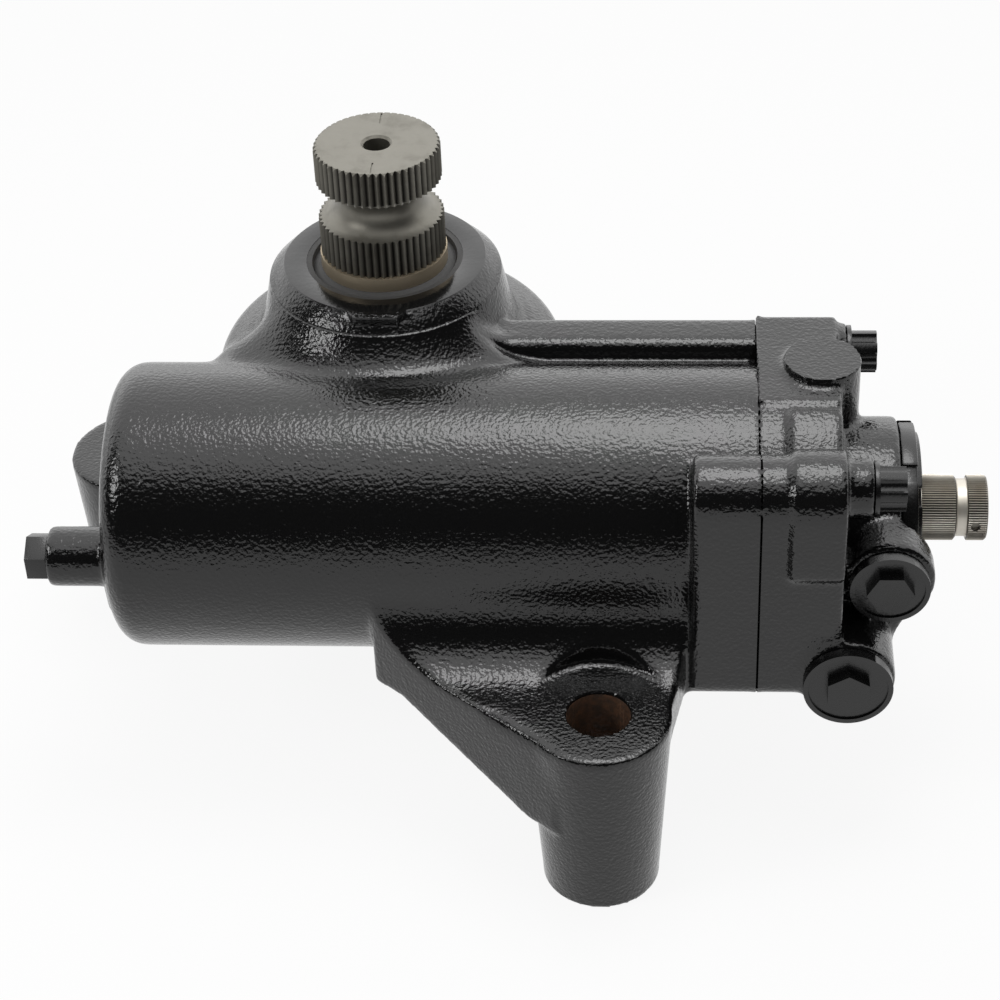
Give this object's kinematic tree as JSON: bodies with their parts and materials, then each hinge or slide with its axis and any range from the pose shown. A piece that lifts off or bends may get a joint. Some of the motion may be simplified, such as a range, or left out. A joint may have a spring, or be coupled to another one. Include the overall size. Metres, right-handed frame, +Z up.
{
  "type": "steering gearbox",
  "caption": "Hydraulic recirculating-ball steering gearbox: black cast housing with rack piston inside, serrated sector shaft on top, valve housing with plugged ports and serrated input shaft.",
  "frame": {"origin": "on the plane of the mounting feet, under the middle of the outside box", "axes": "+X along the piston axis towards the input shaft, +Y away from the ports, +Z up along the sector shaft, out of its serrated end"},
  "size_m": [0.436, 0.2962, 0.2682],
  "materials": {
    "black_casting": "gloss black paint over rough iron casting",
    "black_hardware": "satin black paint on steel",
    "forged_steel": "bare machined steel, oiled",
    "input_steel": "bare ground steel, pale",
    "bright_steel": "ground steel",
    "seal_rubber": "matt black"
  },
  "bodies": {
    "housing": {"gear_housing": "black_casting", "side_cover": "black_casting", "side_cover_gasket": "seal_rubber", "side_cover_bolts": "black_hardware", "sector_adjust_screw": "forged_steel", "adjust_lock_nut": "black_hardware", "stop_screw": "black_hardware", "output_bearing_cup": "bright_steel", "output_rollers": "bright_steel", "output_seal": "seal_rubber", "output_seal_washer": "bright_steel", "output_retaining_ring": "bright_steel", "output_dirt_seal": "seal_rubber", "cover_bearing_cup": "bright_steel", "cover_rollers": "bright_steel", "valve_housing": "black_casting", "valve_housing_o_ring": "seal_rubber", "valve_housing_bolts": "black_hardware", "pressure_port_plug": "black_hardware", "return_port_plug": "black_hardware", "port_plug_seals": "seal_rubber", "lower_thrust_bearing": "bright_steel", "upper_thrust_bearing": "bright_steel", "bearing_adjuster": "black_hardware", "adjuster_locknut": "black_hardware", "input_seal": "seal_rubber", "input_retaining_ring": "bright_steel", "input_dust_seal": "seal_rubber"},
    "sector": {"sector_shaft": "forged_steel", "adjuster_retainer": "forged_steel"},
    "piston": {"rack_piston": "forged_steel", "piston_ring": "seal_rubber", "piston_ring_backup": "seal_rubber", "recirculating_balls": "bright_steel", "ball_return_guide": "bright_steel", "return_guide_clip": "bright_steel", "guide_clip_screws": "bright_steel", "poppet_seats": "bright_steel", "poppet_spring": "bright_steel"},
    "lower_relief": {"lower_poppet": "bright_steel", "poppet_push_tube": "bright_steel"},
    "upper_relief": {"upper_poppet": "bright_steel"},
    "worm": {"worm_shaft": "forged_steel", "valve_sleeve": "bright_steel", "valve_seal_rings": "seal_rubber", "torsion_bar": "bright_steel", "worm_pin": "bright_steel"},
    "input": {"input_shaft": "input_steel", "torsion_bar_pin": "forged_steel"}
  },
  "joints": [
    {"name": "sector_turn", "type": "hinge", "parent": "housing", "child": "sector", "pos_m": [-0.055, 0.06615, 0.123], "axis": [0, 0, 1], "range_deg": [-46, 46]},
    {"name": "piston_slide", "type": "slide", "parent": "housing", "child": "piston", "axis": [1, 0, 0], "range_m": [-0.0345, 0.0345]},
    {"name": "worm_turn", "type": "hinge", "parent": "housing", "child": "worm", "pos_m": [0.095, -0.00985, 0.123], "axis": [1, 0, 0], "range_deg": [-940, 940]},
    {"name": "valve_twist", "type": "hinge", "parent": "worm", "child": "input", "pos_m": [0.145, -0.00985, 0.123], "axis": [1, 0, 0], "range_deg": [-7, 7], "stiffness_Nm_per_rad": 72},
    {"name": "lower_relief_slide", "type": "slide", "parent": "piston", "child": "lower_relief", "axis": [1, 0, 0], "range_m": [0, 0.003], "stiffness_N_per_m": 2000, "springref_m": -0.004, "deforming": ["poppet_spring"]},
    {"name": "upper_relief_slide", "type": "slide", "parent": "piston", "child": "upper_relief", "axis": [-1, 0, 0], "range_m": [0, 0.003], "stiffness_N_per_m": 2000, "springref_m": -0.004, "deforming": ["poppet_spring"]}
  ],
  "couplings": [
    {"joint": "piston_slide", "follows": "sector_turn", "m_per_rad": 0.042},
    {"joint": "worm_turn", "follows": "sector_turn", "ratio": -20.3}
  ]
}
